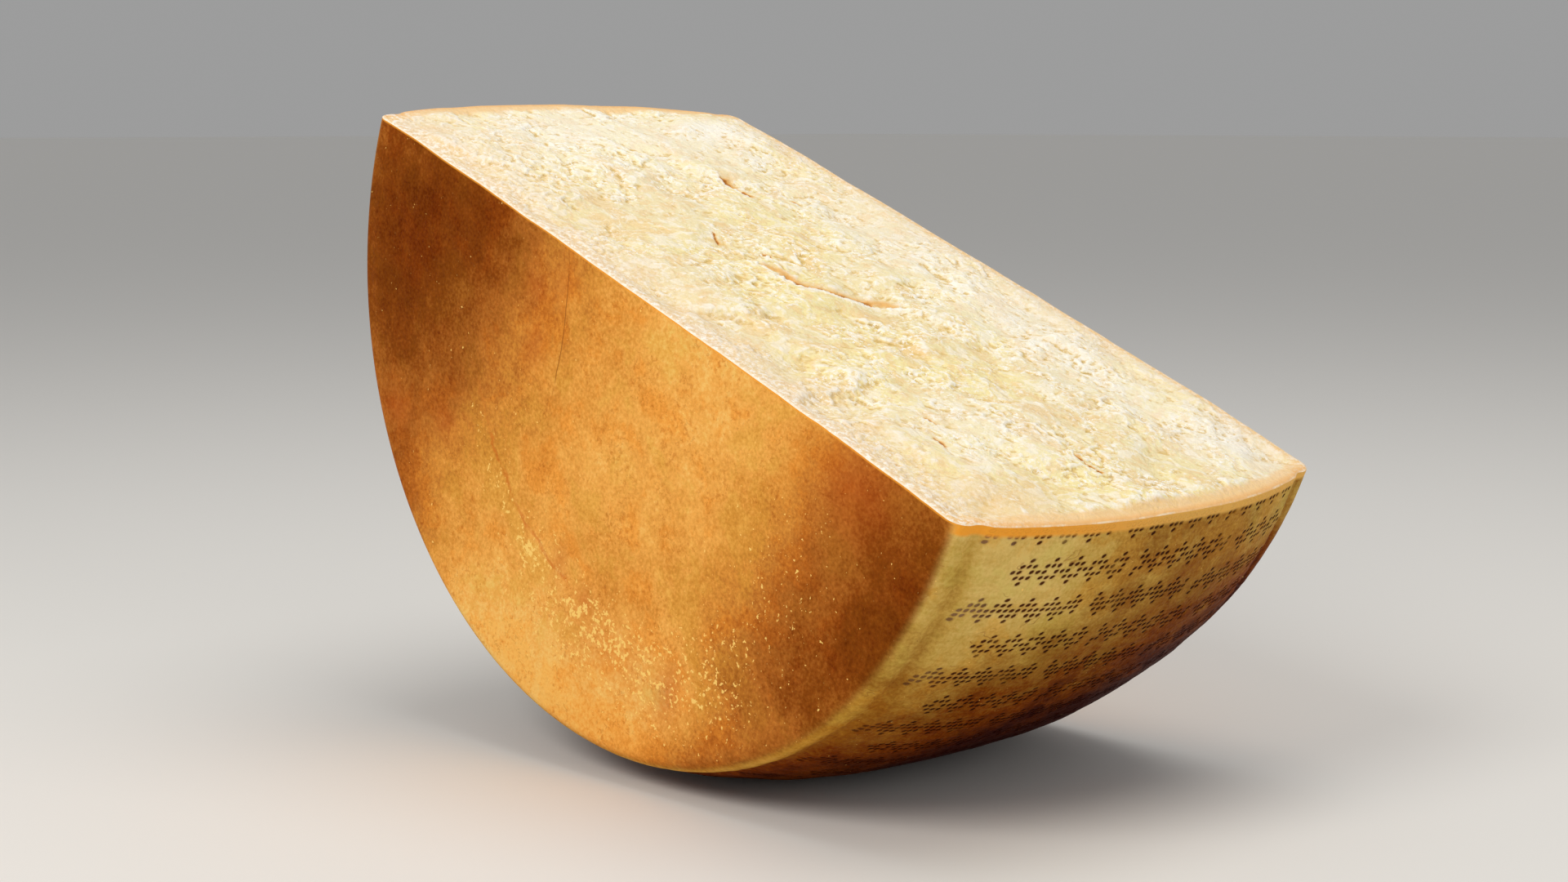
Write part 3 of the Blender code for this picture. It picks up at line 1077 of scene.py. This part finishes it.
def dot_mask(n, place):
    """Where the ornament has dots, as in dot_marks, and the distance from a dot's middle."""
    arc, y, _ = n.parts(place)
    from_start = n.math("SUBTRACT", arc, DOT_ROW_START)
    row = n.math("FLOOR", n.math("DIVIDE", from_start, DOT_ROW_PITCH))
    down = n.math("SUBTRACT", from_start, n.product(row, DOT_ROW_PITCH))
    odd = n.math("FLOORED_MODULO", row, 2.0)
    leant = n.math("MULTIPLY_ADD", down, DOT_LEAN, DOT_REACH)
    moved = n.math("MULTIPLY_ADD", odd, -DOT_SHIFT, leant)
    line, dv = dot_cell(n, down, DOT_DOWN)
    column, du = dot_cell(n, n.math("ADD", y, moved), DOT_ALONG)
    shown = n.product(dot_pattern(n, column, line, odd), dot_limits(n, column, line, y))
    slanted = n.math("MULTIPLY_ADD", dv, -DOT_SLANT, du)
    distance = n.length(slanted, n.product(dv, DOT_FLATNESS))
    return shown, n.math("DIVIDE", distance, DOT_RADIUS)


def dot_cell(n, value, size):
    """The number of the cell that value is in, and how far it is from the cell's middle."""
    cell = n.math("FLOOR", n.math("DIVIDE", value, size))
    middle = n.product(n.math("ADD", cell, 0.5), size)
    return cell, n.math("SUBTRACT", value, middle)


def dot_pattern(n, column, line, odd):
    """1 in the cells that hold a dot: broad waves in even rows and lozenges in odd ones."""
    phase = n.math("FLOORED_MODULO", column, 4.0)
    across = n.math("ABSOLUTE", n.math("SUBTRACT", phase, 2.0))
    height = n.math("ABSOLUTE", n.math("SUBTRACT", line, 2.0))
    lozenges = n.math("COMPARE", n.math("ADD", across, height), 1.5, 0.6)
    waves = n.math("COMPARE", n.math("SUBTRACT", line, across), 1.0, 1.1)
    return n.math("MULTIPLY_ADD", lozenges, odd, n.product(waves, n.rest(odd)))


def dot_limits(n, column, line, y):
    """1 inside the rows, away from the gaps between their stretches."""
    phase = n.math("FLOORED_MODULO", column, float(WORD_COLUMNS))
    return n.product(
        n.math("LESS_THAN", line, DOT_LINES - 0.5),
        n.math("GREATER_THAN", column, -0.5),
        n.math("LESS_THAN", y, DOT_REACH),
        n.math("LESS_THAN", phase, WORD_COLUMNS - WORD_GAP - 0.5),
    )


def rind_material():
    n = Nodes("rind")
    spot = n.attribute("spot", "Vector")
    place = n.attribute("place", "Vector")
    face = n.attribute("face")
    side = n.rest(face)
    mottle = rind_mottle(n, spot, place, face, side)
    on_face = n.ramp(n.math("ADD", n.attribute("face_tone"), mottle), *FACE_RAMP)
    # The side's tone holds painted shade toward the floor and painted light and shade by the faces.
    on_side = n.ramp(n.math("ADD", n.attribute("side_tone_and_shade"), mottle), *SIDE_RAMP)
    colour = hue_drift(n, n.mix(face, on_side, on_face), spot)
    colour = n.mix(n.attribute("amber"), colour, AMBER_TINT, "MULTIPLY")
    colour = n.mix(n.attribute("redness"), colour, RIND_RED)
    colour = add_speckles(n, colour, spot, face)
    lines = (
        (n.product(scratch_line(n, spot), face), SCRATCH),
        (n.product(crease_line(n, spot), face), CREASE),
        (n.product(hair_lines(n, place, *SIDE_HAIRS), side), SCRATCH),
    )
    for line, tint in lines:
        colour = n.mix(line, colour, tint)
    colour, pits = add_dots(n, colour, spot, place, side)
    for line, _ in lines:
        pits = n.math("MAXIMUM", pits, line)
    peel = n.noise(spot, *RIND_PEEL)
    normal = n.bump(n.noise(spot, *RIND_DENTS), 0.0006)
    normal = n.bump(peel, 0.00035, Normal=normal)
    normal = n.bump(n.product(pits, -1.0), 0.00025, Normal=normal)
    # Painted glow and highlight along the lip under the broken face.
    colour = add_painted_lip_glow(n, colour, spot, face, side)
    roughness = n.span(peel, 0.3, 0.7, 0.45, 0.6)
    return n.finished(colour, roughness, normal, *RIND_SURFACE)


def rind_mottle(n, spot, place, face, side):
    """What fine stains add to the tone: blotches and grain, streaks down the faces and
    wrinkles along the side. Each part is (noise, strength, where it shows)."""
    grainy = n.span(n.attribute("face_tone"), 0.2, 0.6, 0.5, 0.66)
    parts = (
        (n.noise(spot, 0.024, 3.0, 0.6), 0.29, 1.0),
        (n.noise(spot, 0.0065, 3.0, 0.6, 0.5), 0.33, 1.0),
        (n.noise(spot, 0.0008, 2.0, 0.6), 0.75, grainy),
        (n.noise(n.scaled(spot, (1.0, 1.0, 0.1)), 0.0035, 2.0), 0.08, face),
        (n.noise(n.scaled(place, (1.0, 0.16, 0.0)), 0.0018, 4.0, 0.7), 0.28, side),
        (n.noise(n.scaled(place, (1.0, 0.6, 0.0)), 0.009, 4.0, 0.65, 0.6), 0.36, side),
    )
    total = 0.0
    for value, strength, share in parts:
        total = n.math("ADD", total, n.product(n.centred(value, strength), share))
    return total


def hue_drift(n, colour, spot):
    """Broad drifts of the rind's hue, to orange in one place and to olive in another."""
    drift = n.math("ADD", n.noise(spot, *BROAD_HUES), n.attribute("hue"))
    drift = n.math("ADD", drift, n.centred(n.noise(spot, *FINE_HUES), 0.5))
    colour = n.mix(n.span(drift, 0.5, 0.66, 0.0, 0.85), colour, ORANGE_TINT, "MULTIPLY")
    return n.mix(n.span(drift, 0.5, 0.34, 0.0, 0.85), colour, OLIVE_TINT, "MULTIPLY")


def add_speckles(n, colour, spot, face):
    """Pale flecks, thick along one band of the round faces and thin elsewhere, and dark pores."""
    clusters = n.span(n.noise(spot, *FLECK_CLUSTERS), 0.32, 0.56, 0.4, 1.0)
    wanted = n.product(n.attribute("speckle"), clusters)
    level = n.math("MULTIPLY_ADD", wanted, -0.24, 0.74)
    flecks = n.span(n.math("SUBTRACT", n.noise(spot, *FLECKS), level), 0.0, 0.03, 0.0, 0.9)
    sparse = n.math("LESS_THAN", n.grains(spot, 0.006), 0.05)
    sparse = n.product(sparse, n.span(n.attribute("face_tone"), 0.2, 0.6, 0.1, 0.3))
    pores = n.span(n.noise(spot, *PORES), 0.43, 0.37, 0.0, 0.6)
    pores = n.product(pores, n.span(n.noise(spot, *PORE_CLUSTERS), 0.44, 0.58), face)
    colour = n.mix(pores, colour, PORE_TINT, "MULTIPLY")
    return n.mix(n.math("MAXIMUM", flecks, sparse), colour, SPECK)


def scratch_line(n, spot):
    """A hair-thin scratch that bends down the near face from its upper border, from 0 to 1."""
    x, y, z = n.parts(spot)
    bent = n.math("MULTIPLY_ADD", n.product(z, z), -SCRATCH_BEND, SCRATCH_TOP)
    along = n.math("MULTIPLY_ADD", z, -SCRATCH_LEAN, bent)
    wobble = n.centred(n.noise(spot, *WOBBLE), 0.0016)
    across = n.math("ADD", n.math("SUBTRACT", x, along), wobble)
    return n.product(
        n.span(n.math("ABSOLUTE", across), SCRATCH_WIDTH, SCRATCH_WIDTH * 0.4),
        n.span(z, -SCRATCH_END, SCRATCH_FADE - SCRATCH_END),
        n.math("LESS_THAN", y, 0.0),
        n.span(n.noise(spot, *SCRATCH_GAPS), 0.4, 0.55, 0.15, 0.6),
    )


def crease_line(n, spot):
    """A broken crease that winds along the rim of the near face, from 0 to 1."""
    x, y, z = n.parts(spot)
    along = n.math("MULTIPLY_ADD", x, CREASE_SPIRAL, CREASE_RADIUS)
    wobble = n.centred(n.noise(spot, *CREASE_WOBBLE), 0.015)
    across = n.math("ADD", n.math("SUBTRACT", n.length(x, z), along), wobble)
    first, last = CREASE_SPAN
    return n.product(
        n.span(n.math("ABSOLUTE", across), CREASE_WIDTH, CREASE_WIDTH * 0.2),
        n.span(x, first, first + END_FADE),
        n.span(x, last, last - END_FADE),
        n.math("LESS_THAN", n.math("MAXIMUM", y, z), 0.0),
        n.span(n.noise(spot, *WOBBLE), 0.36, 0.55, 0.1, 0.55),
    )


def add_dots(n, colour, spot, place, side):
    """The dots of the ornament, faded near the corner, each with a paler ring of bled ink."""
    shown, distance = dot_mask(n, place)
    wear = n.span(n.noise(spot, *DOT_WEAR), 0.3, 0.46, 0.55, 1.0)
    ink = n.product(shown, side, wear)
    dark = n.product(ink, n.span(distance, 1.15, 0.7))
    halo = n.product(ink, n.span(distance, 1.9, 1.1, 0.0, 0.6))
    faded = n.span(n.parts(place)[1], -0.076, -0.094)
    colour = n.mix(halo, colour, DOT_HALO, "MULTIPLY")
    return n.mix(dark, colour, n.mix(faded, DOT_INK, DOT_FADED), "MULTIPLY"), dark


def add_painted_lip_glow(n, colour, spot, face, side):
    """Painted glow and painted highlight of the lip under the broken face: orange to gold on the side,
    and a hair line of painted highlight on the faces.
    """
    edge = n.attribute("edge")
    across = n.parts(spot)[1]
    depth = n.math("ADD", edge, n.centred(n.noise(spot, *LIP_WOBBLE), 0.0016))
    depth = n.math("ADD", depth, n.product(across, 0.006))
    painted_glow = n.mix(n.span(across, -0.09, 0.02), LIP_GLOW_ORANGE, LIP_HIGHLIGHT_GOLD)
    on_side = n.product(n.span(depth, 0.0052, 0.003), side)
    on_face = n.product(n.span(edge, 0.0011, 0.0003, 0.0, 0.8), face)
    return n.mix(n.math("ADD", on_side, on_face), colour, painted_glow)


def build_half_wheel():
    """The broken face in two pieces, the barrel side in two, and the two round faces."""
    paste = paste_material()
    rind = rind_material()
    y, r = profile()
    cut = cut_grid(y, r)
    points = placed(cut)
    normals = grid_normals(points)
    attributes = paste_attributes(*np.moveaxis(cut, -1, 0))
    names = ("cut_high", "cut_low")
    grid_pieces(names, CUT_COLUMNS // 2, points, normals, attributes, paste)
    side, place = side_grid(y, r, cut)
    points = placed(side)
    normals = grid_normals(points)
    normals[0] = (0.0, -1.0, 0.0)
    normals[-1] = (0.0, 1.0, 0.0)
    face = 1 - smooth_step(to_face(side[..., 1]) / CORNER_BLEND)
    attributes = rind_attributes(side, place, place[..., 2], face)
    names = ("side_low", "side_high")
    grid_pieces(names, FINE_COLUMNS, points, normals, attributes, rind)
    face_piece("near_face", -1, cut[0], side[0], rind)
    face_piece("far_face", 1, cut[-1], side[-1], rind)


def build_floor():
    mesh = bpy.data.meshes.new("floor")
    signs = ((-1, -1), (1, -1), (1, 1), (-1, 1))
    corners = [(x * FLOOR_REACH, y * FLOOR_REACH, 0) for x, y in signs]
    mesh.from_pydata(corners, [], [(0, 1, 2, 3)])
    mesh.materials.append(Nodes("floor").finished(FLOOR_COLOUR, FLOOR_ROUGHNESS))
    add_object("floor", mesh)


def build_light(name, place, size, power, colour):
    data = bpy.data.lights.new(name, "AREA")
    data.shape = "DISK"
    data.size = size
    data.energy = power
    data.color = colour
    light = add_object(name, data)
    light.location = place
    aim = Vector(LIGHT_TARGET) - Vector(place)
    light.rotation_euler = aim.to_track_quat("-Z", "Y").to_euler()


def build_studio():
    build_floor()
    for name, settings in LIGHTS.items():
        build_light(name, *settings)
    world = bpy.data.worlds.new("studio")
    world.use_nodes = True
    tree = world.node_tree
    light = tree.nodes["Background"]
    seen = tree.nodes.new("ShaderNodeBackground")
    for background, strength in ((light, WORLD_STRENGTH), (seen, HORIZON_STRENGTH)):
        background.inputs["Color"].default_value = WORLD_COLOUR
        background.inputs["Strength"].default_value = strength
    path = tree.nodes.new("ShaderNodeLightPath")
    mix = tree.nodes.new("ShaderNodeMixShader")
    tree.links.new(path.outputs["Is Camera Ray"], mix.inputs[0])
    tree.links.new(light.outputs[0], mix.inputs[1])
    tree.links.new(seen.outputs[0], mix.inputs[2])
    tree.links.new(mix.outputs[0], tree.nodes["World Output"].inputs["Surface"])
    bpy.context.scene.world = world
    bpy.context.scene.view_settings.view_transform = "Standard"


def build_camera():
    data = bpy.data.cameras.new("camera")
    data.lens = FOCAL_PIXELS * data.sensor_width / IMAGE_WIDTH
    camera = add_object("camera", data)
    camera.location = CAMERA_PLACE
    camera.rotation_euler = (math.pi / 2 - CAMERA_ELEVATION, 0.0, CAMERA_AZIMUTH)
    bpy.context.scene.camera = camera


build_half_wheel()
build_studio()
build_camera()
